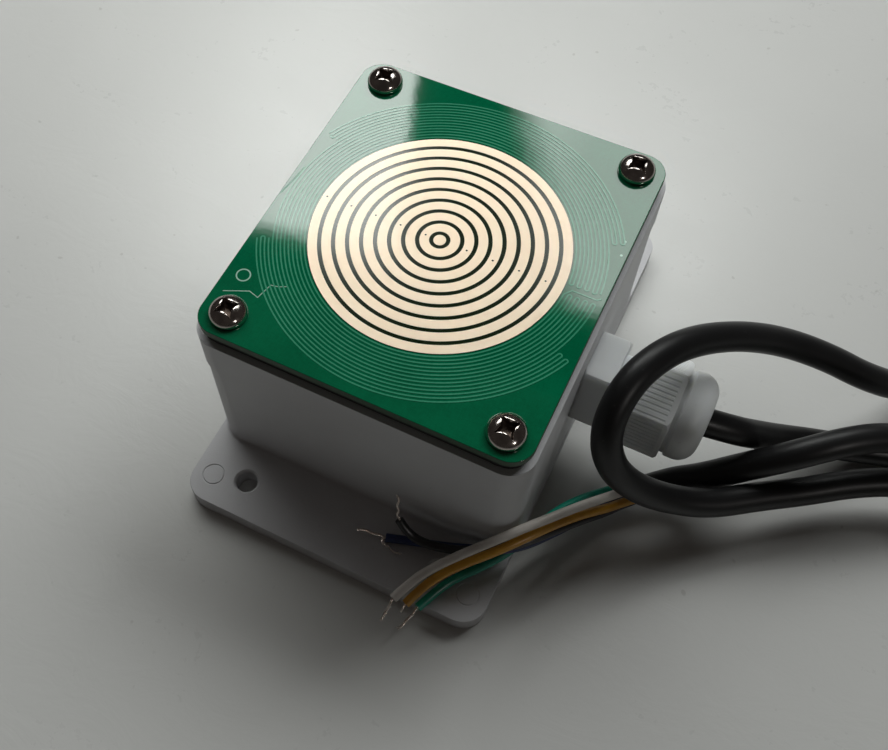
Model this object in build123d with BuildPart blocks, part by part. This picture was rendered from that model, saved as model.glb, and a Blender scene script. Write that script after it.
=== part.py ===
from build123d import *
import math
import os

os.makedirs("parts", exist_ok=True)

# Housing: a moulded box, open at the top, with a mounting flange at each end
housing_length = 59.4
housing_width = 66.0
housing_height = 38.0
housing_wall = 2.5
housing_floor = 3.0
housing_corner_radius = 4.7
collar_height = 8.2
collar_step = 0.2
flange_thickness = 4.0
flange_reach = 13.4
flange_corner_radius = 4.5
flange_root_fillet = 0.6
mounting_hole_diameter = 4.0
mounting_hole_inset_x = 10.1
mounting_hole_inset_y = 6.7
mounting_hole_chamfer = 0.4
ejector_mark_diameter = 4.2
ejector_mark_line = 0.25
ejector_mark_depth = 0.15
ejector_mark_inset_x = 3.9
ejector_mark_inset_y = 5.2

# Lid screws and the posts that they bite into
screw_inset_x = 5.6
screw_inset_y = 5.1
screw_head_diameter = 6.4
screw_head_height = 2.3
screw_head_round = 0.95
screw_shank_diameter = 2.9
screw_length = 12.0
screw_point = 1.6
screw_point_diameter = 0.7
screw_recess_span = 3.9
screw_recess_slot = 1.05
screw_recess_depth = 1.5
screw_post_diameter = 7.0
screw_pilot_clearance = 0.1
screw_pilot_extra_depth = 2.0

# Gasket and sensor board
gasket_thickness = 1.7
gasket_inset = 1.2
gasket_land = 3.0
gasket_eyelet_diameter = 8.0
screw_hole_diameter = 3.4
board_inset = 0.7
board_thickness = 1.6
board_corner_radius = 4.0
copper_thickness = 0.05

# Gilded electrode: a round pad and rings with even gaps
electrode_first_gap = 1.42
electrode_pitch = 2.3227
electrode_gap = 0.72
electrode_rings = 9
electrode_last_ring_width = 1.5884
via_diameter = 0.36

# Heater trace: one long track that runs round the electrode, and one track above and below it
heater_electrode_gap = 0.5
heater_pitch = 0.6625
heater_line = 0.26
heater_inner_turns = 9
heater_outer_turns = 4
heater_gap_above = 1.4
heater_gap_below = 1.1
heater_outer_right_angle = 24.6
heater_outer_left_angle = 155.2
heater_lead_height = 0.12
heater_lead_hook = (0.4, 0.5)
heater_lead_overrun = -0.15
heater_lead_bend = 0.9

# Cable gland in the wall at the +X side
gland_hex = 16.0
gland_hex_chamfer = 0.5
gland_body_hex_length = 5.2
gland_thread_diameter = 12.0
gland_hole_clearance = 0.5
gland_tail_length = 7.8
gland_neck_length = 8.3
gland_bore_diameter = 6.4
gland_seat_diameter = 9.2
gland_seat_depth = 5.0
gland_fit = 0.1
lock_nut_hex = 17.0
lock_nut_thickness = 4.0
dome_nut_gap = 2.3
dome_nut_length = 14.5
dome_nut_hex_length = 8.8
dome_nut_turn = 19.0
dome_nut_notch_width = 1.0
dome_nut_notch_depth = 0.4
dome_ring_diameter = 16.0
dome_ring_width = 1.3
dome_ring_bevel = 0.3
dome_nose_diameter = 9.4
dome_thread_length = 6.6
dome_cone_length = 2.6
dome_bore_clearance = 0.5
dome_mouth_flare = 1.1
dome_mouth_length = 2.5
dome_rib_pitch_angle = 6.0
dome_rib_groove_depth = 0.14
dome_rib_groove_width = 0.34
dome_rib_end_margin = 1.0

# Cable, its five coloured conductors and their bare ends
cable_diameter = 5.2
seal_fit = 0.1
cable_inner_end = 19.0
conductor_diameter = 1.6
conductor_ring_radius = 1.45
inner_lead_diameter = 1.3
inner_lead_straight = 4.0
inner_lead_entry = 2.5
bare_diameter = 0.8

# Parts on the underside of the board: centres in X and Y, then sizes
header_position = (6.0, 0.0)
header_depth = 8.0
header_height = 10.0
header_pitch = 2.54
header_ways = 5
header_margin = 1.6
header_pocket_diameter = 2.0
header_pocket_depth = 3.0
header_pocket_height = 4.0
relay_position = (-12.0, 15.0)
relay_size = (19.0, 15.4, 15.2)
relay_edge = 0.8
controller_position = (-12.0, -4.0)
controller_body = (9.9, 3.9, 1.5)
controller_standoff = 0.15
controller_leads = 8
controller_lead_pitch = 1.27
controller_lead_width = 0.42
controller_lead_reach = 1.05
controller_lead_thickness = 0.25
regulator_position = (-14.0, -17.0)
regulator_body = (6.5, 3.5, 1.6)
regulator_tab = (3.0, 1.8)
regulator_lead_width = 0.7
regulator_lead_reach = 1.8
regulator_lead_pitch = 2.3
capacitor_position = (6.0, -18.0)
capacitor_diameter = 8.0
capacitor_height = 10.2
capacitor_base = (8.3, 8.3, 0.8)
capacitor_edge = 0.5

# Places worked out from the sizes above
collar_bottom = housing_height - collar_height
body_length = housing_length - 2 * collar_step
body_width = housing_width - 2 * collar_step
overall_width = housing_width + 2 * flange_reach
screw_x = housing_length / 2 - screw_inset_x
screw_y = housing_width / 2 - screw_inset_y
mounting_x = housing_length / 2 - mounting_hole_inset_x
mounting_y = overall_width / 2 - mounting_hole_inset_y
ejector_x = housing_length / 2 - ejector_mark_inset_x
ejector_y = overall_width / 2 - ejector_mark_inset_y
board_length = housing_length - 2 * board_inset
board_width = housing_width - 2 * board_inset
board_underside = housing_height + gasket_thickness
board_top = board_underside + board_thickness
last_ring_inner_radius = electrode_first_gap + electrode_pitch * (electrode_rings - 1) + electrode_gap / 2
electrode_edge_radius = last_ring_inner_radius + electrode_last_ring_width
heater_first_radius = electrode_edge_radius + heater_electrode_gap
cavity_length = body_length - 2 * housing_wall
cavity_width = body_width - 2 * housing_wall
cavity_radius = max(housing_corner_radius - housing_wall, 1.0)
gland_height = housing_height / 2
gland_face = body_length / 2
gland_body_end = gland_face + gland_body_hex_length
gland_neck_end = gland_body_end + gland_neck_length
dome_start = gland_body_end + dome_nut_gap
dome_end = dome_start + dome_nut_length
cable_radius = cable_diameter / 2

# Routes, as points along the cord and the conductors
cable_route = [
    (50, 0, 19), (56, 1.6, 17.5), (60.2, 5, 13.4), (65, 8.8, 9.2), (70.6, 12.3, 6.3),
    (76.5, 15.5, 3.6), (84, 18.5, 2.6), (93, 21, 2.6), (101, 23, 2.6), (109, 25.5, 2.6),
    (118.3, 28, 2.6), (125, 34.8, 2.6), (127.5, 44, 2.6), (125, 53.3, 2.6), (118.3, 60, 2.6),
    (109, 62.5, 2.6), (99.8, 60, 2.6), (93, 53.3, 2.6), (90, 44, 3), (87, 35, 5.5),
    (81.5, 28, 10), (74, 23.5, 15.5), (66, 21, 20.5), (58, 17.5, 25), (51, 12, 30),
    (44.5, 5, 34.5), (40, -2, 37), (37, -9.5, 36.6), (36.6, -15.8, 31.3), (39.6, -17.6, 23.8),
    (45, -16, 17.2), (51, -13, 12.5), (57.5, -9.5, 10), (64.5, -4, 9), (71.5, 1, 8),
    (79, 6.5, 8), (87, 11, 7.5), (95.5, 12, 6), (103, 8.5, 4), (107.8, 1.8, 2.8),
    (108.5, -5.5, 2.6), (111, -14.3, 2.6), (117.8, -21, 2.6), (127, -23.5, 2.6), (136.3, -21, 2.6),
    (143, -14.3, 2.6), (145.5, -5, 2.6), (143, 4.3, 2.6), (136.3, 11, 2.6), (127, 14, 2.8),
    (117, 16.5, 4), (107.5, 18.7, 7), (98.5, 18.8, 11), (89.5, 16.3, 15), (79.5, 11.5, 18),
    (74, 7.5, 18.5), (69.5, 4, 17.5), (65, 1.2, 15), (60, -1.2, 11.4), (54.6, -4, 7.4),
    (50.2, -6.2, 6), (46.4, -10, 6),
]
conductor_routes = {
    "green": [
        (45.2, -9.2, 6.4), (42.8, -11.4, 7), (40.2, -14.2, 7.6), (36.8, -18, 8.6), (33.8, -22.4, 9),
        (31.6, -27.6, 9), (29.6, -32.2, 8.2), (26.2, -36.4, 6.6), (22.6, -40.2, 5.4), (20.6, -43.8, 5),
        (19.2, -47.4, 5),
    ],
    "white": [
        (46.2, -10.2, 7.4), (43.6, -13, 9), (40.8, -17, 11.4), (37.4, -21.6, 13.8), (33.8, -26.8, 16),
        (30.4, -31, 16.8), (27, -34.6, 15.8), (23.2, -38, 13.6), (19.4, -41.6, 11.2), (16.8, -45, 9.4),
        (15.2, -48.8, 8.4),
    ],
    "yellow": [
        (47.2, -11.2, 6.4), (44.4, -14, 7.2), (41.6, -17.8, 9), (38, -22, 11.4), (34.4, -27, 13.6),
        (31, -31.8, 14.4), (27.4, -35.8, 13.4), (23.6, -38.9, 11.2), (20.4, -42, 8.8), (18.4, -45, 7),
        (17.2, -48, 6),
    ],
    "black": [
        (46.8, -10.8, 4.8), (44, -13.8, 5), (41.6, -17.6, 6.6), (38.4, -22, 9.2), (34.8, -27, 11.4),
        (31, -31.8, 12.4), (27, -34.5, 11.6), (22.4, -36.5, 10.2), (18.4, -37.4, 9), (14.4, -37.6, 8.4),
        (11.8, -37.2, 9.6), (10.4, -36.6, 11.2),
    ],
    "blue": [
        (45.6, -9.6, 4.8), (43.6, -11.8, 4), (41.4, -15.4, 4.2), (38.2, -20.4, 6), (34.8, -26.2, 8.4),
        (31.4, -31.2, 10.2), (27.6, -33.8, 10), (23.2, -34.8, 8), (18, -36, 6), (13, -37, 5),
        (8.6, -38.4, 4.8),
    ],
}
bare_routes = {
    "green": [(18.6, -49.6, 4.7), (17.6, -52.4, 4)],
    "white": [(15, -51, 7.7), (14.4, -53.6, 6.4)],
    "yellow": [(16.8, -49.4, 5.5)],
    "black": [(9.8, -36, 12.8), (9.4, -35.2, 14.6)],
    "blue": [(6.2, -39.2, 4.9), (3.4, -39.6, 5.6)],
}


def pathRadii(points):
    # the largest arc that each corner's two runs have room for
    share = 0.45
    radii = []
    for before, corner, after in zip(points, points[1:], points[2:]):
        run_in = Vector(*corner) - Vector(*before)
        run_out = Vector(*after) - Vector(*corner)
        half_turn = math.radians(run_in.get_angle(run_out)) / 2
        radii.append(share * min(run_in.length, run_out.length) / math.tan(half_turn))
    return radii


def finish(part, name):
    part.label = name
    export_step(part, "parts/" + name + ".step")


# The housing
mounting_corners = [(x, y) for x in (-mounting_x, mounting_x) for y in (-mounting_y, mounting_y)]
ejector_corners = [(x, y) for x in (-ejector_x, ejector_x) for y in (-ejector_y, ejector_y)]
screw_corners = [(x, y) for x in (-screw_x, screw_x) for y in (-screw_y, screw_y)]

with BuildPart() as housing:
    with BuildSketch():
        RectangleRounded(housing_length, overall_width, flange_corner_radius)
    extrude(amount=flange_thickness)
    with BuildSketch(Plane.XY):
        RectangleRounded(body_length, body_width, housing_corner_radius)
    extrude(amount=housing_height)
    flange_roots = housing.edges().filter_by(Axis.X).filter_by_position(Axis.Z, flange_thickness, flange_thickness)
    fillet(flange_roots.filter_by_position(Axis.Y, -body_width / 2, body_width / 2), flange_root_fillet)
    with BuildSketch(Plane.XY.offset(collar_bottom)):
        RectangleRounded(housing_length, housing_width, housing_corner_radius)
    extrude(amount=collar_height)
    # the hollow, and the four posts left standing in its corners
    with BuildSketch(Plane.XY.offset(housing_floor)):
        RectangleRounded(cavity_length, cavity_width, cavity_radius)
        with Locations(*screw_corners):
            Circle(screw_post_diameter / 2, mode=Mode.SUBTRACT)
    extrude(amount=housing_height, mode=Mode.SUBTRACT)
    with BuildSketch(Plane.XY.offset(housing_height)):
        with Locations(*screw_corners):
            Circle((screw_shank_diameter + screw_pilot_clearance) / 2)
    pilot_depth = screw_length - gasket_thickness - board_thickness + screw_pilot_extra_depth
    extrude(amount=-pilot_depth, mode=Mode.SUBTRACT)
    # mounting holes with a small lead-in, and the rings that the ejector pins left
    with BuildSketch():
        with Locations(*mounting_corners):
            Circle(mounting_hole_diameter / 2)
    extrude(amount=flange_thickness, mode=Mode.SUBTRACT)
    hole_rims = housing.edges().filter_by(GeomType.CIRCLE)
    hole_rims = hole_rims.filter_by(lambda rim: abs(rim.radius - mounting_hole_diameter / 2) < 1e-6)
    chamfer(hole_rims.filter_by_position(Axis.Z, flange_thickness, flange_thickness), mounting_hole_chamfer)
    with BuildSketch(Plane.XY.offset(flange_thickness)):
        with Locations(*ejector_corners):
            Circle(ejector_mark_diameter / 2)
            Circle(ejector_mark_diameter / 2 - ejector_mark_line, mode=Mode.SUBTRACT)
    extrude(amount=-ejector_mark_depth, mode=Mode.SUBTRACT)
    # the hole for the cable gland
    with BuildSketch(Plane.YZ.offset(gland_face)):
        with Locations((0, gland_height)):
            Circle((gland_thread_diameter + gland_hole_clearance) / 2)
    extrude(amount=-housing_wall, mode=Mode.SUBTRACT)
finish(housing.part, "housing")

# The gasket: a flat frame on the rim, with an eyelet round each screw
with BuildPart() as lid_gasket:
    with BuildSketch(Plane.XY.offset(housing_height)):
        gasket_length = housing_length - 2 * gasket_inset
        gasket_width = housing_width - 2 * gasket_inset
        gasket_radius = max(housing_corner_radius - gasket_inset, 1.0)
        RectangleRounded(gasket_length, gasket_width, gasket_radius)
        RectangleRounded(
            gasket_length - 2 * gasket_land,
            gasket_width - 2 * gasket_land,
            max(gasket_radius - gasket_land, 0.5),
            mode=Mode.SUBTRACT,
        )
        with Locations(*screw_corners):
            Circle(gasket_eyelet_diameter / 2)
            Circle(screw_hole_diameter / 2, mode=Mode.SUBTRACT)
    extrude(amount=gasket_thickness)
finish(lid_gasket.part, "lid_gasket")

# The sensor board, which closes the housing
with BuildPart() as sensor_board:
    with BuildSketch(Plane.XY.offset(board_underside)):
        RectangleRounded(board_length, board_width, board_corner_radius)
        with Locations(*screw_corners):
            Circle(screw_hole_diameter / 2, mode=Mode.SUBTRACT)
    extrude(amount=board_thickness)
finish(sensor_board.part, "sensor_board")

# The gilded pad and rings; a via joins each ring to the circuit below
with BuildPart() as gold_centre_pad:
    with BuildSketch(Plane.XY.offset(board_top)):
        Circle(electrode_first_gap - electrode_gap / 2)
    extrude(amount=copper_thickness)
finish(gold_centre_pad.part, "gold_centre_pad")

for ring_number in range(1, electrode_rings + 1):
    inner_radius = electrode_first_gap + electrode_pitch * (ring_number - 1) + electrode_gap / 2
    outer_radius = electrode_first_gap + electrode_pitch * ring_number - electrode_gap / 2
    if ring_number == electrode_rings:
        outer_radius = electrode_edge_radius
    side = -1 if ring_number % 2 else 1
    with BuildPart() as gold_ring:
        with BuildSketch(Plane.XY.offset(board_top)):
            Circle(outer_radius)
            Circle(inner_radius, mode=Mode.SUBTRACT)
            with Locations((side * (inner_radius + outer_radius) / 2, 0)):
                Circle(via_diameter / 2, mode=Mode.SUBTRACT)
        extrude(amount=copper_thickness)
    finish(gold_ring.part, "gold_ring_" + str(ring_number))


def heaterRadius(turn):
    return heater_first_radius + heater_pitch * turn


def turnBack(turn, angle, going_up):
    # the half circle that joins one turn of the track to the next one out
    middle = heaterRadius(turn) + heater_pitch / 2
    centre = (middle * math.cos(math.radians(angle)), middle * math.sin(math.radians(angle)))
    CenterArc(centre, heater_pitch / 2, angle + 180, -180 if going_up else 180)


def gapAngle(turn, height):
    return math.degrees(math.asin(height / (heaterRadius(turn) + heater_pitch / 2)))


# The track that runs nearly all the way round, from the short radial lead at the right
with BuildPart() as heater_trace_inner:
    with BuildSketch(Plane.XY.offset(board_top)):
        with BuildLine() as inner_track:
            last_radius = heaterRadius(heater_inner_turns - 1)
            first_angle = -gapAngle(0, heater_gap_below)
            start_x = heater_first_radius * math.cos(math.radians(first_angle))
            start_y = heater_first_radius * math.sin(math.radians(first_angle))
            Polyline(
                (last_radius + heater_lead_hook[0], heater_lead_height + heater_lead_hook[1]),
                (last_radius + heater_lead_overrun, heater_lead_height),
                (heater_first_radius + heater_lead_bend, heater_lead_height),
                (start_x, start_y),
            )
            for turn in range(heater_inner_turns):
                # even turns run clockwise from below the gap, odd turns run back
                above = gapAngle(turn - turn % 2, heater_gap_above)
                below = -gapAngle(max(turn - 1 + turn % 2, 0), heater_gap_below)
                if turn % 2 == 0:
                    CenterArc((0, 0), heaterRadius(turn), below, above - below - 360)
                    if turn < heater_inner_turns - 1:
                        turnBack(turn, above, False)
                else:
                    below = -gapAngle(turn, heater_gap_below)
                    CenterArc((0, 0), heaterRadius(turn), above, 360 + below - above)
                    turnBack(turn, below, True)
        trace(line_width=heater_line)
    extrude(amount=copper_thickness)
finish(heater_trace_inner.part, "heater_trace_inner")

# The two tracks in the board's upper and lower margins
for name, flip in (("heater_trace_upper", 1), ("heater_trace_lower", -1)):
    with BuildPart() as heater_trace_outer:
        with BuildSketch(Plane.XY.offset(board_top)):
            with BuildLine():
                right = flip * heater_outer_right_angle
                left = flip * heater_outer_left_angle
                for step in range(heater_outer_turns):
                    turn = heater_inner_turns + step
                    if step % 2 == 0:
                        CenterArc((0, 0), heaterRadius(turn), left, right - left)
                        turnBack(turn, right, flip < 0)
                    else:
                        CenterArc((0, 0), heaterRadius(turn), right, left - right)
                        if step < heater_outer_turns - 1:
                            turnBack(turn, left, flip > 0)
            trace(line_width=heater_line)
        extrude(amount=copper_thickness)
    finish(heater_trace_outer.part, name)

# The four lid screws: pan heads with a cross recess
for screw_number, corner in enumerate(screw_corners, start=1):
    with BuildPart() as lid_screw:
        with BuildSketch(Plane(origin=(corner[0], corner[1], board_top), x_dir=(1, 0, 0), z_dir=(0, -1, 0))):
            with BuildLine():
                Polyline(
                    (0, screw_head_height),
                    (0, -screw_length),
                    (screw_point_diameter / 2, -screw_length),
                    (screw_shank_diameter / 2, -screw_length + screw_point),
                    (screw_shank_diameter / 2, 0),
                    (screw_head_diameter / 2, 0),
                    (screw_head_diameter / 2, screw_head_height),
                    close=True,
                )
            make_face()
        revolve(axis=Axis((corner[0], corner[1], 0), (0, 0, 1)))
        head_top_edge = lid_screw.edges().filter_by(GeomType.CIRCLE).sort_by(Axis.Z)[-1]
        fillet(head_top_edge, screw_head_round)
        with BuildSketch(Plane.XY.offset(board_top + screw_head_height)):
            with Locations(corner):
                Rectangle(screw_recess_span, screw_recess_slot, rotation=45)
                Rectangle(screw_recess_slot, screw_recess_span, rotation=45)
        extrude(amount=-screw_recess_depth, mode=Mode.SUBTRACT)
    finish(lid_screw.part, "lid_screw_" + str(screw_number))

# The gland, all on one axis that runs out through the wall
gland_axis = Axis((0, 0, gland_height), (1, 0, 0))


def glandPlane(x):
    return Plane(origin=(x, 0, gland_height), x_dir=(0, 1, 0), z_dir=(1, 0, 0))


def glandProfile():
    # half sections drawn as distance along the gland, then radius
    return Plane(origin=(0, 0, gland_height), x_dir=(1, 0, 0), z_dir=(0, -1, 0))


def hexOutline(start, end, flats):
    # the turned outline that takes the points off a hexagon's corners
    corner_radius = flats / 2 / math.cos(math.radians(30))
    cut_radius = corner_radius - gland_hex_chamfer
    return [
        (start, 0),
        (start, cut_radius),
        (start + gland_hex_chamfer, corner_radius),
        (end - gland_hex_chamfer, corner_radius),
        (end, cut_radius),
        (end, 0),
    ]


with BuildPart() as gland_body:
    with BuildSketch(glandPlane(gland_face)):
        RegularPolygon(gland_hex / 2, 6, major_radius=False)
    extrude(amount=gland_body_hex_length)
    with BuildSketch(glandProfile()):
        with BuildLine():
            Polyline(*hexOutline(gland_face, gland_body_end, gland_hex), close=True)
        make_face()
    revolve(axis=gland_axis, mode=Mode.INTERSECT)
    with BuildSketch(glandPlane(gland_face - gland_tail_length)):
        Circle(gland_thread_diameter / 2)
    extrude(amount=gland_neck_end - gland_face + gland_tail_length)
    with BuildSketch(glandPlane(gland_face - gland_tail_length)):
        Circle(gland_bore_diameter / 2)
    extrude(amount=gland_neck_end - gland_face + gland_tail_length, mode=Mode.SUBTRACT)
    with BuildSketch(glandPlane(gland_neck_end)):
        Circle(gland_seat_diameter / 2)
    extrude(amount=-gland_seat_depth, mode=Mode.SUBTRACT)
finish(gland_body.part, "gland_body")

lock_nut_start = gland_face - housing_wall - lock_nut_thickness
with BuildPart() as gland_lock_nut:
    with BuildSketch(glandPlane(lock_nut_start)):
        RegularPolygon(lock_nut_hex / 2, 6, major_radius=False)
    extrude(amount=lock_nut_thickness)
    with BuildSketch(glandProfile()):
        with BuildLine():
            Polyline(*hexOutline(lock_nut_start, lock_nut_start + lock_nut_thickness, lock_nut_hex), close=True)
        make_face()
    revolve(axis=gland_axis, mode=Mode.INTERSECT)
    with BuildSketch(glandPlane(lock_nut_start)):
        Circle((gland_thread_diameter + gland_fit) / 2)
    extrude(amount=lock_nut_thickness, mode=Mode.SUBTRACT)
finish(gland_lock_nut.part, "gland_lock_nut")

with BuildPart() as gland_seal_insert:
    with BuildSketch(glandPlane(gland_neck_end - gland_seat_depth)):
        Circle((gland_seat_diameter - gland_fit) / 2)
        Circle((cable_diameter + seal_fit) / 2, mode=Mode.SUBTRACT)
    extrude(amount=gland_seat_depth)
finish(gland_seal_insert.part, "gland_seal_insert")

hex_end = dome_start + dome_nut_hex_length
ring_start = hex_end + dome_nut_notch_width
ring_radius = dome_ring_diameter / 2
bore_radius = cable_radius + dome_bore_clearance
thread_end = dome_start + dome_thread_length
cone_end = thread_end + dome_cone_length
with BuildPart() as gland_dome_nut:
    with BuildSketch(glandPlane(dome_start)):
        RegularPolygon(gland_hex / 2, 6, major_radius=False, rotation=dome_nut_turn)
    extrude(amount=dome_nut_hex_length)
    with BuildSketch(glandProfile()):
        with BuildLine():
            Polyline(*hexOutline(dome_start, hex_end, gland_hex), close=True)
        make_face()
    revolve(axis=gland_axis, mode=Mode.INTERSECT)
    # fine gripping grooves along the six flats
    rib_count = round(360 / dome_rib_pitch_angle)
    for rib in range(rib_count):
        angle = dome_nut_turn + (rib + 0.5) * 360 / rib_count
        from_flat = math.radians((angle - dome_nut_turn) % 60 - 30)
        surface = gland_hex / 2 / math.cos(from_flat)
        rib_y = surface * math.cos(math.radians(angle))
        rib_z = surface * math.sin(math.radians(angle))
        with BuildSketch(glandPlane(dome_start + dome_rib_end_margin)):
            with Locations((rib_y, rib_z)):
                flat_angle = angle - math.degrees(from_flat)
                Rectangle(2 * dome_rib_groove_depth, dome_rib_groove_width, rotation=flat_angle)
        extrude(amount=dome_nut_hex_length - 2 * dome_rib_end_margin, mode=Mode.SUBTRACT)
    # the waist, the ring and the rounded nose, turned in one
    with BuildSketch(glandProfile()):
        with BuildLine():
            waist_radius = ring_radius - dome_nut_notch_depth
            nose_start = ring_start + dome_ring_width
            nose_radius = dome_nose_diameter / 2
            Polyline(
                (hex_end, 0),
                (hex_end, waist_radius),
                (ring_start - dome_ring_bevel, waist_radius),
                (ring_start, ring_radius),
                (nose_start, ring_radius),
            )
            TangentArc((nose_start, ring_radius), (dome_end, nose_radius), tangent=(1, 0))
            Polyline((dome_end, nose_radius), (dome_end, 0), (hex_end, 0))
        make_face()
    revolve(axis=gland_axis)
    # the inside: thread, cone on the seal, bore and flared mouth
    with BuildSketch(glandProfile()):
        with BuildLine():
            inside_radius = (gland_thread_diameter + gland_fit) / 2
            Polyline(
                (dome_start, 0),
                (dome_start, inside_radius),
                (thread_end, inside_radius),
                (cone_end, bore_radius),
                (dome_end - dome_mouth_length, bore_radius),
                (dome_end, bore_radius + dome_mouth_flare / 2),
                (dome_end, 0),
                close=True,
            )
        make_face()
    revolve(axis=gland_axis, mode=Mode.SUBTRACT)
finish(gland_dome_nut.part, "gland_dome_nut")

# The cable inside the gland, cut square to the free cable's first run so that the two meet
cable_exit = Vector(*cable_route[0])
exit_direction = (Vector(*cable_route[1]) - cable_exit).normalized()
with BuildPart() as cable_inner_jacket:
    with BuildSketch(glandPlane(cable_inner_end)):
        Circle(cable_radius)
    extrude(amount=cable_exit.X - cable_inner_end + cable_radius)
    split(bisect_by=Plane(origin=cable_exit, z_dir=exit_direction), keep=Keep.BOTTOM)
finish(cable_inner_jacket.part, "cable_inner_jacket")

# The free cable, which turns back on itself twice
radii = pathRadii(cable_route)
print("cable radii", [round(radius, 1) for radius in radii])
with BuildPart() as cable_jacket:
    with BuildLine() as cable_path:
        FilletPolyline(*cable_route, radius=radii)
    with BuildSketch(Plane(origin=cable_path.line @ 0, z_dir=cable_path.line % 0)):
        Circle(cable_radius)
    sweep()
cable_section = math.pi * cable_radius**2
cable_length = cable_path.wire().length
print("cable length", round(cable_length, 1),
      "volume ratio", round(cable_jacket.part.volume / (cable_section * cable_length), 4))
finish(cable_jacket.part, "cable_jacket")

# The five conductors fan out of the jacket's end, then each shows a short bare end
for colour, route in conductor_routes.items():
    radii = pathRadii(route)
    with BuildPart() as conductor:
        with BuildLine() as conductor_path:
            FilletPolyline(*route, radius=radii)
        with BuildSketch(Plane(origin=conductor_path.line @ 0, z_dir=conductor_path.line % 0)):
            Circle(conductor_diameter / 2)
        sweep()
    conductor_length = conductor_path.wire().length
    conductor_volume = math.pi * (conductor_diameter / 2) ** 2 * conductor_length
    print(colour, "length", round(conductor_length, 1),
          "volume ratio", round(conductor.part.volume / conductor_volume, 4),
          "radii", [round(radius, 1) for radius in radii])
    finish(conductor.part, "wire_" + colour)

    # the bare end goes straight on from the insulation before it bends
    tip = Vector(*route[-1])
    straight = (tip - Vector(*route[-2])).normalized()
    bare_points = [tuple(tip), tuple(tip + straight * 1.0)] + bare_routes[colour]
    with BuildPart() as bare_end:
        with BuildLine() as bare_path:
            FilletPolyline(*bare_points, radius=pathRadii(bare_points))
        with BuildSketch(Plane(origin=bare_path.line @ 0, z_dir=bare_path.line % 0)):
            Circle(bare_diameter / 2)
        sweep()
    finish(bare_end.part, "wire_" + colour + "_bare_end")

# The wire header under the board, with a pocket for each conductor
header_x, header_y = header_position
header_bottom = board_underside - header_height
header_face = header_x + header_depth / 2
pocket_z = header_bottom + header_pocket_height
pocket_ys = [header_y + header_pitch * (slot - (header_ways - 1) / 2) for slot in range(header_ways)]
with BuildPart() as wire_header:
    with BuildSketch(Plane.XY.offset(header_bottom)):
        with Locations(header_position):
            Rectangle(header_depth, header_ways * header_pitch + header_margin)
    extrude(amount=header_height)
    with BuildSketch(Plane.YZ.offset(header_face)):
        with Locations(*[(y, pocket_z) for y in pocket_ys]):
            Circle(header_pocket_diameter / 2)
    extrude(amount=-header_pocket_depth, mode=Mode.SUBTRACT)
finish(wire_header.part, "wire_header")

# The conductors inside, from the jacket's end up to the header
ring_angles = {"yellow": 162, "black": 234, "white": 90, "blue": 306, "green": 18}
for (colour, angle), slot_y in zip(ring_angles.items(), pocket_ys):
    start_y = conductor_ring_radius * math.cos(math.radians(angle))
    start_z = gland_height + conductor_ring_radius * math.sin(math.radians(angle))
    # the lower a lead starts, the further in it turns up, so that none crosses another
    turn_x = cable_inner_end - inner_lead_straight + (start_z - gland_height)
    lead_points = [
        (cable_inner_end, start_y, start_z),
        (turn_x, start_y, start_z),
        (header_face + inner_lead_entry, slot_y, pocket_z),
        (header_face - header_pocket_depth, slot_y, pocket_z),
    ]
    with BuildPart() as inner_lead:
        with BuildLine() as lead_path:
            FilletPolyline(*lead_points, radius=pathRadii(lead_points))
        with BuildSketch(Plane(origin=lead_path.line @ 0, z_dir=lead_path.line % 0)):
            Circle(inner_lead_diameter / 2)
        sweep()
    finish(inner_lead.part, "inner_lead_" + colour)

# The parts soldered under the board
with BuildPart() as relay:
    with BuildSketch(Plane.XY.offset(board_underside - relay_size[2])):
        with Locations(relay_position):
            Rectangle(relay_size[0], relay_size[1])
    extrude(amount=relay_size[2])
    fillet(relay.edges().filter_by(Axis.Z), relay_edge)
    fillet(relay.faces().sort_by(Axis.Z)[0].edges(), relay_edge / 2)
finish(relay.part, "relay")

with BuildPart() as microcontroller:
    chip_bottom = board_underside - controller_standoff - controller_body[2]
    with BuildSketch(Plane.XY.offset(chip_bottom)):
        with Locations(controller_position):
            Rectangle(controller_body[0], controller_body[1])
    extrude(amount=controller_body[2])
    lead_rows = controller_body[1] + controller_lead_reach
    with BuildSketch(Plane.XY.offset(board_underside - controller_lead_thickness)):
        with Locations(controller_position):
            with GridLocations(controller_lead_pitch, lead_rows, controller_leads, 2):
                Rectangle(controller_lead_width, controller_lead_reach)
    extrude(amount=controller_lead_thickness)
    with BuildSketch(Plane.XY.offset(board_underside - controller_standoff - controller_body[2] / 2)):
        with Locations(controller_position):
            with GridLocations(controller_lead_pitch, controller_body[1], controller_leads, 2):
                Rectangle(controller_lead_width, controller_lead_reach / 2)
    extrude(amount=controller_standoff + controller_body[2] / 2)
finish(microcontroller.part, "microcontroller")

with BuildPart() as voltage_regulator:
    with BuildSketch(Plane.XY.offset(board_underside - regulator_body[2])):
        with Locations(regulator_position):
            Rectangle(regulator_body[0], regulator_body[1])
    extrude(amount=regulator_body[2])
    lead_y = regulator_position[1] - regulator_body[1] / 2 - regulator_lead_reach / 2
    tab_y = regulator_position[1] + regulator_body[1] / 2 + regulator_tab[1] / 2
    with BuildSketch(Plane.XY.offset(board_underside - controller_lead_thickness)):
        with Locations((regulator_position[0], lead_y)):
            with GridLocations(regulator_lead_pitch, 1, 3, 1):
                Rectangle(regulator_lead_width, regulator_lead_reach)
        with Locations((regulator_position[0], tab_y)):
            Rectangle(regulator_tab[0], regulator_tab[1])
    extrude(amount=controller_lead_thickness)
finish(voltage_regulator.part, "voltage_regulator")

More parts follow.
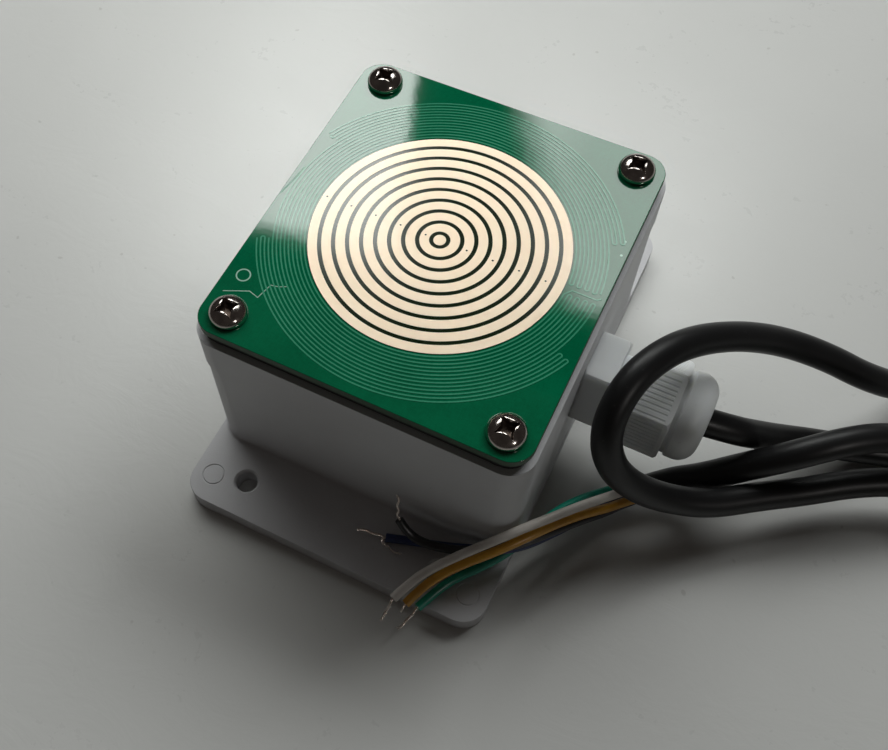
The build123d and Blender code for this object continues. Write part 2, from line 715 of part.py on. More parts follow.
with BuildPart() as electrolytic_capacitor:
    with BuildSketch(Plane.XY.offset(board_underside - capacitor_base[2])):
        with Locations(capacitor_position):
            Rectangle(capacitor_base[0], capacitor_base[1])
    extrude(amount=capacitor_base[2])
    with BuildSketch(Plane.XY.offset(board_underside - capacitor_height)):
        with Locations(capacitor_position):
            Circle(capacitor_diameter / 2)
    extrude(amount=capacitor_height)
    fillet(electrolytic_capacitor.faces().sort_by(Axis.Z)[0].edges(), capacitor_edge)
finish(electrolytic_capacitor.part, "electrolytic_capacitor")
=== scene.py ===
import math
import random

import bmesh
import bpy
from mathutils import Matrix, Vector


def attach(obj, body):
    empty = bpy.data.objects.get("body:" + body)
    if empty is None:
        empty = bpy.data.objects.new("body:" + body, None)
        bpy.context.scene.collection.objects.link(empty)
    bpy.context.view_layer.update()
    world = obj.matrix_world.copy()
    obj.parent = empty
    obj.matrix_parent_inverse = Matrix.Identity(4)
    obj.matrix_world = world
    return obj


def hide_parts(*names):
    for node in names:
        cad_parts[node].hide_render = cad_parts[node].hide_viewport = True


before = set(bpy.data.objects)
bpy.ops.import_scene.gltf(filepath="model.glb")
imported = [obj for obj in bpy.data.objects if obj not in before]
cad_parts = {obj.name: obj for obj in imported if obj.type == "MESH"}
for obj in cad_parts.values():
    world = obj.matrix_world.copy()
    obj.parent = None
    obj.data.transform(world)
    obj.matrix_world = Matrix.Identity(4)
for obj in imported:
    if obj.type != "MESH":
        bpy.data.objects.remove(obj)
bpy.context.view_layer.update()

scene = bpy.context.scene
scene.view_settings.view_transform = "Standard"
millimetre = 0.001
print("frame loaded,", len(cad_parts), "nodes")


# small helpers for node trees
def link(tree, output, socket):
    tree.links.new(output, socket)


def shaderNode(tree, kind, inputs=None, **settings):
    made = tree.nodes.new(kind)
    for key, value in settings.items():
        setattr(made, key, value)
    for key, value in (inputs or {}).items():
        if isinstance(value, bpy.types.NodeSocket):
            link(tree, value, made.inputs[key])
        else:
            made.inputs[key].default_value = value
    return made


def calc(tree, operation, first, second=None, third=None):
    inputs = {i: v for i, v in enumerate((first, second, third)) if v is not None}
    return shaderNode(tree, "ShaderNodeMath", inputs, operation=operation).outputs[0]


def noise(tree, vector, scale, detail, roughness, distortion=0.0):
    found = shaderNode(tree, "ShaderNodeTexNoise",
                       {"Vector": vector, "Scale": scale, "Detail": detail,
                        "Roughness": roughness, "Distortion": distortion})
    return found.outputs["Fac"]


def stretch(tree, vector, scale, rotation=(0, 0, 0)):
    return shaderNode(tree, "ShaderNodeMapping",
                      {"Vector": vector, "Scale": scale, "Rotation": rotation}).outputs[0]


def ramp(tree, value, low, high, soft=True):
    made = shaderNode(tree, "ShaderNodeMapRange",
                      {"Value": value, "From Min": low, "From Max": high},
                      interpolation_type="SMOOTHSTEP" if soft else "LINEAR")
    return made.outputs[0]


def between(tree, factor, first, second):
    # a colour mix; the mix node's colours are its inputs 6 and 7 and its output 2
    made = shaderNode(tree, "ShaderNodeMix", {0: factor}, data_type="RGBA")
    for socket, value in ((made.inputs[6], first), (made.inputs[7], second)):
        if isinstance(value, bpy.types.NodeSocket):
            link(tree, value, socket)
        else:
            socket.default_value = (*value, 1)
    return made.outputs[2]


def vectorMath(tree, operation, first, second=None, output="Vector"):
    inputs = {0: first}
    if second is not None:
        inputs["Scale" if operation == "SCALE" else 1] = second
    return shaderNode(tree, "ShaderNodeVectorMath", inputs, operation=operation).outputs[output]


def lineMark(tree, distance, halfWidth, softEdge=0.05):
    # full within half the line's width, then gone; both in millimetres
    return ramp(tree, distance, (halfWidth + softEdge) * millimetre, halfWidth * millimetre)


def ringMark(tree, flat, centre, radius, halfWidth):
    # a printed ring, or a dot where the radius is nought; all in millimetres
    away = vectorMath(tree, "SUBTRACT", flat, (centre[0] * millimetre, centre[1] * millimetre, 0))
    distance = vectorMath(tree, "LENGTH", away, output="Value")
    offLine = calc(tree, "ABSOLUTE", calc(tree, "SUBTRACT", distance, radius * millimetre))
    return lineMark(tree, offLine, halfWidth)


def scratchMark(tree, flat, corners, halfWidth):
    # a fine scratch through a row of corner points in millimetres
    nearest = None
    for first, second in zip(corners, corners[1:]):
        start = Vector((*first, 0)) * millimetre
        run = Vector((*second, 0)) * millimetre - start
        offset = vectorMath(tree, "SUBTRACT", flat, start)
        share = vectorMath(tree, "DOT_PRODUCT", offset, run / run.length_squared, "Value")
        share = calc(tree, "MAXIMUM", calc(tree, "MINIMUM", share, 1.0), 0.0)
        reached = vectorMath(tree, "SCALE", run, share)
        distance = vectorMath(tree, "DISTANCE", offset, reached, "Value")
        nearest = distance if nearest is None else calc(tree, "MINIMUM", nearest, distance)
    return lineMark(tree, nearest, halfWidth)


def bump(tree, height, distance, strength=1.0, normal=None):
    inputs = {"Height": height, "Distance": distance, "Strength": strength}
    if normal is not None:
        inputs["Normal"] = normal
    return shaderNode(tree, "ShaderNodeBump", inputs).outputs[0]


def newMaterial(name, **constants):
    material = bpy.data.materials.new(name)
    material.use_nodes = True
    tree = material.node_tree
    surface = tree.nodes["Principled BSDF"]
    for key, value in constants.items():
        surface.inputs[key.replace("_", " ")].default_value = value
    place = tree.nodes.new("ShaderNodeTexCoord").outputs["Object"]
    return material, tree, surface, place


# the camera stands where the photograph was taken from
cameraSettings = {
    "location": (41.55, -97.06, 182.0),  # millimetres, in the part's frame
    "rotation": (29.5025, 1.3394, 26.8241),  # degrees
    "lens": 42.64,
    "sensorWidth": 36,
    "shift": (0.07287, 0.00125),
    "clip": (0.01, 20),  # metres
}
camera = bpy.data.objects.new("camera", bpy.data.cameras.new("camera"))
scene.collection.objects.link(camera)
camera.location = [c * millimetre for c in cameraSettings["location"]]
camera.rotation_euler = [math.radians(a) for a in cameraSettings["rotation"]]
camera.data.lens = cameraSettings["lens"]
camera.data.sensor_width = cameraSettings["sensorWidth"]
camera.data.shift_x, camera.data.shift_y = cameraSettings["shift"]
camera.data.clip_start, camera.data.clip_end = cameraSettings["clip"]
scene.camera = camera
print("camera set")


def mouldedPlastic(name, colour, shade, roughness, grain, grainScale):
    # injection-moulded plastic or rubber: a faint spark grain, flow marks and handling dust
    material, tree, surface, place = newMaterial(name, IOR=1.5, Specular_IOR_Level=0.42)
    cloud = noise(tree, place, 38, 4, 0.55, 0.4)
    fine = noise(tree, place, grainScale, 2, 0.6)
    dust = ramp(tree, noise(tree, place, 1700, 1, 0.5), 0.72, 0.80)
    tone = between(tree, ramp(tree, cloud, 0.3, 0.72), shade, colour)
    tone = between(tree, calc(tree, "MULTIPLY", dust, 0.25), tone, [c * 0.62 for c in shade])
    link(tree, tone, surface.inputs["Base Color"])
    rough = calc(tree, "MULTIPLY_ADD", cloud, 0.16, roughness - 0.08)
    link(tree, calc(tree, "MULTIPLY_ADD", fine, 0.06, rough), surface.inputs["Roughness"])
    wave = bump(tree, cloud, 0.00012, 0.35)
    link(tree, bump(tree, fine, grain, 0.8, wave), surface.inputs["Normal"])
    return material


def wireInsulation(name, colour, shade):
    # smooth plastic sleeve, a little uneven in tone and gloss
    material, tree, surface, place = newMaterial(name, IOR=1.5, Coat_Weight=0.15, Coat_Roughness=0.3)
    cloud = noise(tree, place, 240, 3, 0.6)
    link(tree, between(tree, ramp(tree, cloud, 0.3, 0.7), shade, colour), surface.inputs["Base Color"])
    link(tree, calc(tree, "MULTIPLY_ADD", cloud, 0.2, 0.3), surface.inputs["Roughness"])
    fine = noise(tree, place, 2600, 2, 0.5)
    link(tree, bump(tree, fine, 0.00002, 0.6), surface.inputs["Normal"])
    return material


plasticSettings = {
    # colour, shade of the flow marks, roughness, depth of the grain in metres, scale of the grain
    "housingPlastic": ((0.60, 0.605, 0.62), (0.555, 0.555, 0.57), 0.42, 0.00002, 3600),
    "glandNylon": ((0.78, 0.80, 0.80), (0.72, 0.745, 0.75), 0.36, 0.000012, 4200),
    "headerPlastic": ((0.03, 0.14, 0.05), (0.02, 0.11, 0.04), 0.45, 0.00001, 3000),
    "relayPlastic": ((0.04, 0.10, 0.30), (0.03, 0.08, 0.25), 0.4, 0.00001, 3000),
    "blackEpoxy": ((0.022, 0.022, 0.024), (0.016, 0.016, 0.018), 0.5, 0.00001, 3000),
    "gasketRubber": ((0.05, 0.05, 0.052), (0.035, 0.035, 0.036), 0.7, 0.00004, 2200),
    "sealRubber": ((0.03, 0.03, 0.032), (0.02, 0.02, 0.021), 0.6, 0.00002, 2200),
}
plastics = {name: mouldedPlastic(name, *values) for name, values in plasticSettings.items()}

nylonGlow = {"Subsurface Weight": 0.8, "Subsurface Scale": 0.0024, "Subsurface Radius": (1.0, 1.0, 0.9)}
nylonSurface = plastics["glandNylon"].node_tree.nodes["Principled BSDF"]
for socketName, value in nylonGlow.items():
    nylonSurface.inputs[socketName].default_value = value

insulationSettings = {
    # colour and shade
    "green": ((0.0, 0.40, 0.27), (0.0, 0.30, 0.20)),
    "white": ((0.74, 0.70, 0.65), (0.66, 0.61, 0.56)),
    "yellow": ((0.78, 0.40, 0.03), (0.66, 0.31, 0.02)),
    "black": ((0.012, 0.012, 0.014), (0.02, 0.02, 0.022)),
    "blue": ((0.01, 0.035, 0.15), (0.008, 0.025, 0.11)),
}
insulation = {}
for colour, values in insulationSettings.items():
    insulation[colour] = wireInsulation("insulation" + colour.capitalize(), *values)


def cableRubber():
    # soft black jacket: satin, with scuffs and a little dust
    material, tree, surface, place = newMaterial("cableRubber", IOR=1.5, Specular_IOR_Level=0.36)
    cloud = noise(tree, place, 55, 4, 0.6, 0.5)
    fine = noise(tree, place, 1500, 3, 0.6)
    dust = ramp(tree, noise(tree, place, 900, 2, 0.6), 0.66, 0.8)
    tone = between(tree, cloud, (0.0065, 0.0065, 0.007), (0.012, 0.012, 0.0125))
    tone = between(tree, calc(tree, "MULTIPLY", dust, 0.3), tone, (0.06, 0.06, 0.06))
    link(tree, tone, surface.inputs["Base Color"])
    rough = calc(tree, "MULTIPLY_ADD", cloud, 0.14, 0.33)
    link(tree, calc(tree, "MULTIPLY_ADD", dust, 0.2, rough), surface.inputs["Roughness"])
    wave = bump(tree, cloud, 0.0001, 0.5)
    link(tree, bump(tree, fine, 0.000015, 0.6, wave), surface.inputs["Normal"])
    return material


boardMarks = {
    # millimetres, in the part's frame
    "bareRadius": 22.0,  # under the electrode the laminate is bare
    "bareFade": 0.15,
    "ring": (-25.8, -20.3),
    "ringRadius": 1.15,
    "ringHalfWidth": 0.09,
    "dots": [(27.6, 13.0), (28.0, 10.1)],
    "dotRadius": 0.2,
    "scratches": [
        # corner points and half the width
        ([(-27.2, -24.4), (-23.3, -22.6), (-21.5, -23.1),
          (-20.8, -20.1), (-19.4, -19.8), (-18.3, -19.2)], 0.05),
        ([(-27.8, 4.0), (-28.1, 1.2), (-28.7, -2.6)], 0.12),
    ],
    "bareColour": (0.007, 0.018, 0.005),
    "printColour": (0.36, 0.62, 0.50),
    "scratchColour": (0.42, 0.66, 0.55),
    "sawnColour": (0.03, 0.075, 0.035),
}


def markedBoard(tree, place, tone, rough):
    # what only the board has: bare laminate in the electrode's gaps, print, scratches and sawn sides
    marks = boardMarks
    flat = vectorMath(tree, "MULTIPLY", place, (1, 1, 0))
    radius = vectorMath(tree, "LENGTH", flat, output="Value")
    outer = (marks["bareRadius"] + marks["bareFade"]) * millimetre
    bare = ramp(tree, radius, outer, marks["bareRadius"] * millimetre, soft=False)
    tone = between(tree, bare, tone, marks["bareColour"])
    rough = calc(tree, "MULTIPLY_ADD", bare, 0.08, rough)
    printed = ringMark(tree, flat, marks["ring"], marks["ringRadius"], marks["ringHalfWidth"])
    for centre in marks["dots"]:
        printed = calc(tree, "MAXIMUM", printed, ringMark(tree, flat, centre, 0, marks["dotRadius"]))
    tone = between(tree, printed, tone, marks["printColour"])
    for corners, halfWidth in marks["scratches"]:
        scratch = scratchMark(tree, flat, corners, halfWidth)
        tone = between(tree, calc(tree, "MULTIPLY", scratch, 0.55), tone, marks["scratchColour"])
        rough = calc(tree, "MULTIPLY_ADD", scratch, 0.4, rough)
    normal = tree.nodes["Texture Coordinate"].outputs["Normal"]
    facing = shaderNode(tree, "ShaderNodeSeparateXYZ", {0: normal}).outputs["Z"]
    side = ramp(tree, calc(tree, "ABSOLUTE", facing), 0.5, 0.3)
    tone = between(tree, side, tone, marks["sawnColour"])
    rough = calc(tree, "MULTIPLY_ADD", side, 0.5, rough)
    return tone, rough


def solderMask(name, deep, light, marked):
    # glossy green lacquer over woven glass
    material, tree, surface, place = newMaterial(name, IOR=1.52, Specular_IOR_Level=0.55)
    cloud = noise(tree, place, 70, 4, 0.55)
    fibre = noise(tree, stretch(tree, place, (900, 5200, 900)), 1, 2, 0.5)
    weave = noise(tree, stretch(tree, place, (5200, 900, 900)), 1, 2, 0.5)
    cloth = calc(tree, "MULTIPLY", calc(tree, "ADD", fibre, weave), 0.5)
    blend = calc(tree, "MULTIPLY_ADD", cloth, 0.5, calc(tree, "MULTIPLY", cloud, 0.5))
    tone = between(tree, ramp(tree, blend, 0.35, 0.65), deep, light)
    rough = calc(tree, "MULTIPLY_ADD", cloud, 0.04, 0.03)
    if marked:
        tone, rough = markedBoard(tree, place, tone, rough)
    link(tree, tone, surface.inputs["Base Color"])
    link(tree, rough, surface.inputs["Roughness"])
    orange = noise(tree, place, 420, 2, 0.5)
    link(tree, bump(tree, orange, 0.00002, 0.25), surface.inputs["Normal"])
    return material


def gildedCopper(shade, colour):
    # thin satin gold that stays pale where nothing bright is reflected in it
    material, tree, surface, place = newMaterial(
        "gildedCopper", Metallic=0.5, Coat_Weight=0.5, Coat_Roughness=0.12)
    cloud = noise(tree, place, 160, 4, 0.6)
    fine = noise(tree, place, 3800, 3, 0.6)
    link(tree, between(tree, ramp(tree, cloud, 0.3, 0.7), shade, colour), surface.inputs["Base Color"])
    rough = calc(tree, "MULTIPLY_ADD", fine, 0.18, 0.36)
    link(tree, calc(tree, "MULTIPLY_ADD", cloud, 0.1, rough), surface.inputs["Roughness"])
    link(tree, bump(tree, fine, 0.000012, 0.8), surface.inputs["Normal"])
    return material


def brightMetal(name, colour, shade, roughness, scratches, paintedRecessShade=False):
    # metal with fine drawn scratches; their depth is in metres
    material, tree, surface, place = newMaterial(name, Metallic=1.0)
    cloud = noise(tree, place, 600, 4, 0.6)
    fine = noise(tree, stretch(tree, place, (9000, 900, 2000)), 1, 3, 0.6)
    tone = between(tree, ramp(tree, cloud, 0.3, 0.7), shade, colour)
    rough = calc(tree, "MULTIPLY_ADD", cloud, 0.14, roughness - 0.07)
    if paintedRecessShade:
        # painted shade: the floor of the drive recess is coloured a dull dark brown to stand in for the
        # shade that falls in it
        recess = shaderNode(tree, "ShaderNodeAttribute", attribute_name="recess").outputs["Fac"]
        tone = between(tree, calc(tree, "MULTIPLY", recess, 0.9), tone, (0.05, 0.028, 0.018))
        rough = calc(tree, "MULTIPLY_ADD", recess, 0.3, rough)
    link(tree, tone, surface.inputs["Base Color"])
    link(tree, rough, surface.inputs["Roughness"])
    link(tree, bump(tree, fine, scratches, 0.6), surface.inputs["Normal"])
    return material


cableJacketRubber = cableRubber()
boardMask = solderMask("boardMask", (0.0006, 0.105, 0.044), (0.0012, 0.145, 0.062), marked=True)
trackMask = solderMask("trackMask", (0.035, 0.27, 0.15), (0.06, 0.34, 0.20), marked=False)
gold = gildedCopper((0.92, 0.745, 0.565), (0.97, 0.81, 0.63))
nickel = brightMetal("nickelScrew", (0.62, 0.56, 0.52), (0.42, 0.38, 0.36), 0.15, 0.000006, paintedRecessShade=True)
tinnedCopper = brightMetal("tinnedCopper", (0.90, 0.85, 0.80), (0.74, 0.64, 0.58), 0.26, 0.00001)
capacitorCan = brightMetal("capacitorCan", (0.78, 0.78, 0.80), (0.66, 0.66, 0.68), 0.34, 0.00001)
print("materials made")


# cords, in millimetres; the routes of the cable and its conductors repeat those of the part's source
cableSettings = {
    "diameter": 5.2,
    "length": 527.1,
    "route": [
        (50, 0, 19), (56, 1.6, 17.5), (60.2, 5, 13.4), (65, 8.8, 9.2), (70.6, 12.3, 6.3),
        (76.5, 15.5, 3.6), (84, 18.5, 2.6), (93, 21, 2.6), (101, 23, 2.6), (109, 25.5, 2.6),
        (118.3, 28, 2.6), (125, 34.8, 2.6), (127.5, 44, 2.6), (125, 53.3, 2.6), (118.3, 60, 2.6),
        (109, 62.5, 2.6), (99.8, 60, 2.6), (93, 53.3, 2.6), (90, 44, 3), (87, 35, 5.5),
        (81.5, 28, 10), (74, 23.5, 15.5), (66, 21, 20.5), (58, 17.5, 25), (51, 12, 30),
        (44.5, 5, 34.5), (40, -2, 37), (37, -9.5, 36.6), (36.6, -15.8, 31.3), (39.6, -17.6, 23.8),
        (45, -16, 17.2), (51, -13, 12.5), (57.5, -9.5, 10), (64.5, -4, 9), (71.5, 1, 8),
        (79, 6.5, 8), (87, 11, 7.5), (95.5, 12, 6), (103, 8.5, 4), (107.8, 1.8, 2.8),
        (108.5, -5.5, 2.6), (111, -14.3, 2.6), (117.8, -21, 2.6), (127, -23.5, 2.6), (136.3, -21, 2.6),
        (143, -14.3, 2.6), (145.5, -5, 2.6), (143, 4.3, 2.6), (136.3, 11, 2.6), (127, 14, 2.8),
        (117, 16.5, 4), (107.5, 18.7, 7), (98.5, 18.8, 11), (89.5, 16.3, 15), (79.5, 11.5, 18),
        (74, 7.5, 18.5), (69.5, 4, 17.5), (65, 1.2, 15), (60, -1.2, 11.4), (54.6, -4, 7.4),
        (50.2, -6.2, 6), (46.4, -10, 6),
    ],
}
conductorSettings = {
    "diameter": 1.6,
    "lengths": {"green": 47.6, "white": 53.3, "yellow": 51.0, "black": 50.9, "blue": 51.8},
    "routes": {
        "green": [
            (45.2, -9.2, 6.4), (42.8, -11.4, 7), (40.2, -14.2, 7.6), (36.8, -18, 8.6), (33.8, -22.4, 9),
            (31.6, -27.6, 9), (29.6, -32.2, 8.2), (26.2, -36.4, 6.6), (22.6, -40.2, 5.4), (20.6, -43.8, 5),
            (19.2, -47.4, 5),
        ],
        "white": [
            (46.2, -10.2, 7.4), (43.6, -13, 9), (40.8, -17, 11.4), (37.4, -21.6, 13.8), (33.8, -26.8, 16),
            (30.4, -31, 16.8), (27, -34.6, 15.8), (23.2, -38, 13.6), (19.4, -41.6, 11.2), (16.8, -45, 9.4),
            (15.2, -48.8, 8.4),
        ],
        "yellow": [
            (47.2, -11.2, 6.4), (44.4, -14, 7.2), (41.6, -17.8, 9), (38, -22, 11.4), (34.4, -27, 13.6),
            (31, -31.8, 14.4), (27.4, -35.8, 13.4), (23.6, -38.9, 11.2), (20.4, -42, 8.8), (18.4, -45, 7),
            (17.2, -48, 6),
        ],
        "black": [
            (46.8, -10.8, 4.8), (44, -13.8, 5), (41.6, -17.6, 6.6), (38.4, -22, 9.2), (34.8, -27, 11.4),
            (31, -31.8, 12.4), (27, -34.5, 11.6), (22.4, -36.5, 10.2), (18.4, -37.4, 9), (14.4, -37.6, 8.4),
            (11.8, -37.2, 9.6), (10.4, -36.6, 11.2),
        ],
        "blue": [
            (45.6, -9.6, 4.8), (43.6, -11.8, 4), (41.4, -15.4, 4.2), (38.2, -20.4, 6), (34.8, -26.2, 8.4),
            (31.4, -31.2, 10.2), (27.6, -33.8, 10), (23.2, -34.8, 8), (18, -36, 6), (13, -37, 5),
            (8.6, -38.4, 4.8),
        ],
    },
}
strandSettings = {
    "strandDiameter": 0.17,
    "bundleRadius": 0.17,
    "count": 6,
    "sides": 7,
    "twistLength": 2.2,
    "wave": 0.13,
    "waveLength": 2.7,
    "waveGrowth": 3,  # the wave is full after a third of the bundle's length
    "rootInside": 0.8,  # how far a bundle starts inside the insulation, and its next point outside
    "rootOutside": 0.4,
    "shortest": 0.88,  # share of the bundle's length that the shortest strand may have
    "looseness": (0.2, 0.9),
    "splayFrom": 0.6,  # share of the bundle's length where the strands begin to part
    "splay": 1.2,
    # from the insulation's end outwards; a colour has one bundle or more
    "routes": {
        "green": [[(18.7, -49.3, 4.6), (18.1, -50.9, 4.1), (17.4, -52.2, 3.5)]],
        "white": [[(15.1, -50.4, 7.6), (14.9, -51.6, 6.9), (14.6, -52.9, 6.1)]],
        "yellow": [[(16.9, -49.6, 5.5)]],
        "black": [[(9.9, -36.3, 12.8), (9.7, -35.6, 15.2), (9.3, -34.8, 17.8)]],
        "blue": [[(6.5, -38.6, 5.0), (4.8, -39.1, 5.4), (3.1, -39.6, 6.0)],
                 [(8.0, -39.1, 4.4), (9.6, -39.7, 4.2), (11.2, -39.9, 4.5), (12.7, -40.2, 4.8)]],
    },
}


def routeCurve(name, points, radius=0.0, steps=14, roundness=7):
    # a smooth line, or a closed tube, with the route's points as its control points
    data = bpy.data.curves.new(name, "CURVE")
    data.dimensions = "3D"
    line = data.splines.new("NURBS")
    line.points.add(len(points) - 1)
    for point, place in zip(line.points, points):
        point.co = (*[c * millimetre for c in place], 1)
    line.order_u = 3
    line.use_endpoint_u = True
    data.resolution_u = steps
    data.bevel_depth = radius * millimetre
    data.bevel_resolution = roundness if radius else 0
    data.use_fill_caps = radius > 0
    made = bpy.data.objects.new(name, data)
    scene.collection.objects.link(made)
    return made


def sampledLine(points):
    # the same smooth line as a row of close points
    bare = routeCurve("routeLine", points, steps=24)
    bpy.context.view_layer.update()
    mesh = bpy.data.meshes.new_from_object(bare.evaluated_get(bpy.context.evaluated_depsgraph_get()))
    line = [v.co.copy() for v in mesh.vertices]
    bpy.data.objects.remove(bare)
    bpy.data.meshes.remove(mesh)
    return line


def meshObject(name, bm, material):
    mesh = bpy.data.meshes.new(name)
    bm.to_mesh(mesh)
    bm.free()
    mesh.materials.append(material)
    made = bpy.data.objects.new(name, mesh)
    scene.collection.objects.link(made)
    return made


def carriedFrames(line):
    # each point of a row with two axes across it, carried along without twist
    direction = (line[1] - line[0]).normalized()
    across = direction.orthogonal().normalized()
    for i, point in enumerate(line):
        ahead = (line[min(i + 1, len(line) - 1)] - line[max(i - 1, 0)]).normalized()
        across = direction.rotation_difference(ahead) @ across
        across = (across - ahead * across.dot(ahead)).normalized()
        direction = ahead
        yield point, across, direction.cross(across)


def tubeAlong(bm, line, radius, sides):
    # a closed tube round a row of points
    rings = []
    for point, across, other in carriedFrames(line):
        rings.append([bm.verts.new(point + (across * math.cos(a) + other * math.sin(a)) * radius)
                      for a in [2 * math.pi * k / sides for k in range(sides)]])
    for a, b in zip(rings, rings[1:]):
        for k in range(sides):
            face = bm.faces.new((a[k], a[(k + 1) % sides], b[(k + 1) % sides], b[k]))
            face.smooth = True
    bm.faces.new(list(reversed(rings[0])))
    bm.faces.new(rings[-1])


def looseStrand(line, strand):
    # one strand's own line: twisted round the bundle's, wavy, and splayed towards its tip
    settings = strandSettings
    offset = 2 * math.pi * strand / settings["count"]
    cut = random.uniform(settings["shortest"], 1.0)
    loose = random.uniform(*settings["looseness"])
    lean = random.uniform(0, 2 * math.pi)
    run = [0.0]
    for a, b in zip(line, line[1:]):
        run.append(run[-1] + (b - a).length)
    strandLine = []
    for (point, across, other), reached in zip(carriedFrames(line), run):
        if reached > cut * run[-1]:
            break
        share = reached / run[-1]
        angle = offset + 2 * math.pi * reached / (settings["twistLength"] * millimetre)
        swing = math.sin(2 * math.pi * reached / (settings["waveLength"] * millimetre))
        swing *= settings["wave"] * millimetre * min(1.0, share * settings["waveGrowth"])
        splay = loose * max(0.0, share - settings["splayFrom"]) ** 2 * settings["splay"] * millimetre
        sideways = across * math.cos(angle) + other * math.sin(angle)
        away = across * math.cos(lean) + other * math.sin(lean)
        reach = settings["bundleRadius"] * millimetre
        strandLine.append(point + sideways * reach + across * swing + away * splay)
    return strandLine


cable = routeCurve("cable", cableSettings["route"], cableSettings["diameter"] / 2)
cable.data.materials.append(cableJacketRubber)
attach(cable, "root")
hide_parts("cable_jacket")

wires = {}
for colour, route in conductorSettings["routes"].items():
    wire = routeCurve("wire_" + colour + "_insulation", route, conductorSettings["diameter"] / 2)
    wire.data.materials.append(insulation[colour])
    wires[colour] = wire

    # the bare end is one bundle of strands, or several that part
    random.seed("bare " + colour)
    tip = Vector(route[-1])
    straight = (tip - Vector(route[-2])).normalized()
    root = [tip - straight * strandSettings["rootInside"], tip + straight * strandSettings["rootOutside"]]
    bm = bmesh.new()
    for branch in strandSettings["routes"][colour]:
        line = sampledLine(root + branch)
        for strand in range(strandSettings["count"]):
            tubeAlong(bm, looseStrand(line, strand), strandSettings["strandDiameter"] / 2 * millimetre,
                      strandSettings["sides"])
    strands = meshObject("wire_" + colour + "_strands", bm, tinnedCopper)
    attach(strands, "root")
    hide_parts("wire_" + colour + "_bare_end")

    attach(wire, "root")
    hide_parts("wire_" + colour)

[c * millimetre for c in cableSettings["route"][0]]
for colour, wire in wires.items():
    [c * millimetre for c in conductorSettings["routes"][colour][0]]
print("cable and conductors laid")


dressSettings = {
    "mergeDistance": 0.0015,  # millimetres
    "flatAngle": 0.6,  # degrees: faces that meet at less become one
    "sharpAngle": 32,  # degrees: the edge between faces that meet at more is rounded
    "shadingWeight": 90,
}


def cleanCopy(nodeName, name, material):
    # a CAD mesh is loose triangles: merge it, clear its flat faces and mark its edges
    bm = bmesh.new()
    bm.from_mesh(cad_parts[nodeName].data)
    bmesh.ops.remove_doubles(bm, verts=bm.verts, dist=dressSettings["mergeDistance"] * millimetre)
    bmesh.ops.dissolve_limit(bm, angle_limit=math.radians(dressSettings["flatAngle"]), verts=bm.verts,
                             edges=bm.edges, use_dissolve_boundaries=False)
    for face in bm.faces:
        face.smooth = True
    for edge in bm.edges:
        if len(edge.link_faces) == 2:
            edge.smooth = edge.calc_face_angle(0) < math.radians(dressSettings["sharpAngle"])
    return meshObject(name, bm, material)


def roundEdges(piece, width, segments):
    rounding = piece.modifiers.new("edge rounding", "BEVEL")
    rounding.width = width * millimetre
    rounding.segments = segments
    rounding.limit_method = "ANGLE"
    rounding.angle_limit = math.radians(dressSettings["sharpAngle"])
    rounding.harden_normals = False
    rounding.use_clamp_overlap = True
    shading = piece.modifiers.new("face shading", "WEIGHTED_NORMAL")
    shading.keep_sharp = False
    shading.weight = dressSettings["shadingWeight"]


def bakeModifiers(piece):
    # keep the finished shape as a plain mesh
    bpy.context.view_layer.update()
    mesh = bpy.data.meshes.new_from_object(piece.evaluated_get(bpy.context.evaluated_depsgraph_get()))
    piece.modifiers.clear()
    piece.data = mesh


def dress(nodeName, name, material, rounding, segments):
    # a CAD form with its edges rounded, in millimetres, and its own material
    piece = cleanCopy(nodeName, name, material)
    roundEdges(piece, rounding, segments)
    bakeModifiers(piece)
    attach(piece, "root")
    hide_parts(nodeName)


dress("housing", "housing_shell", plastics["housingPlastic"], rounding=0.35, segments=3)
dress("sensor_board", "board_laminate", boardMask, rounding=0.12, segments=2)
dress("gland_body", "gland_base", plastics["glandNylon"], rounding=0.22, segments=3)
dress("gland_dome_nut", "gland_cap_nut", plastics["glandNylon"], rounding=0.06, segments=2)

# the CAD nodes that stay are given materials by the start of their names
keptMaterials = {
    "lid_gasket": plastics["gasketRubber"],
    "gland_lock_nut": plastics["glandNylon"],
    "gland_seal_insert": plastics["sealRubber"],
    "cable_inner_jacket": cableJacketRubber,
    "gold_": gold,
    "heater_": trackMask,
    "relay": plastics["relayPlastic"],
    "microcontroller": plastics["blackEpoxy"],
    "voltage_regulator": plastics["blackEpoxy"],
    "electrolytic_capacitor": capacitorCan,
    "wire_header": plastics["headerPlastic"],
}
for colour in insulation:
    keptMaterials["inner_lead_" + colour] = insulation[colour]
for nodeName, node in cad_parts.items():
    for start, material in keptMaterials.items():
        if nodeName.startswith(start):
            node.data.materials.clear()
            node.data.materials.append(material)
print("housing, board and gland dressed")


screwSettings = {
    # millimetres and degrees; powers, shares and counts have no unit
    "headRadius": 3.2,
    "headHeight": 2.3,
    "rimHeight": 0.42,
    "rimRounding": 0.08,
    "domePower": 2.3,  # two is a round dome, more is a flatter one
    "domeRings": 9,
    "recessReach": 2.2,
    "recessDepth": 1.5,
    "wingPower": 0.55,  # one is a square recess, less draws its sides in to four wings
    "wingEnd": 0.8,  # share of a wing that is left when its tip is cut off
    "floorRise": 0.55,
    "floorRings": (0.3, 0.6, 0.84),  # shares of the recess's width
    "lipRings": ((-0.10, 0.55), (-0.015, 0.05), (0.05, 0.0)),  # outwards of its edge, down from the dome
    "shankRadius": 1.45,
    "shankLength": 12.0,
    "pointLength": 1.6,
    "pointRadius": 0.35,
    "sharpAngle": 40,
    "segments": 96,
    "spacing": (48.2, 55.8),
    "seatHeight": 41.3,
    "turn": (30.0, 58.0),
    "seed": 5,
}


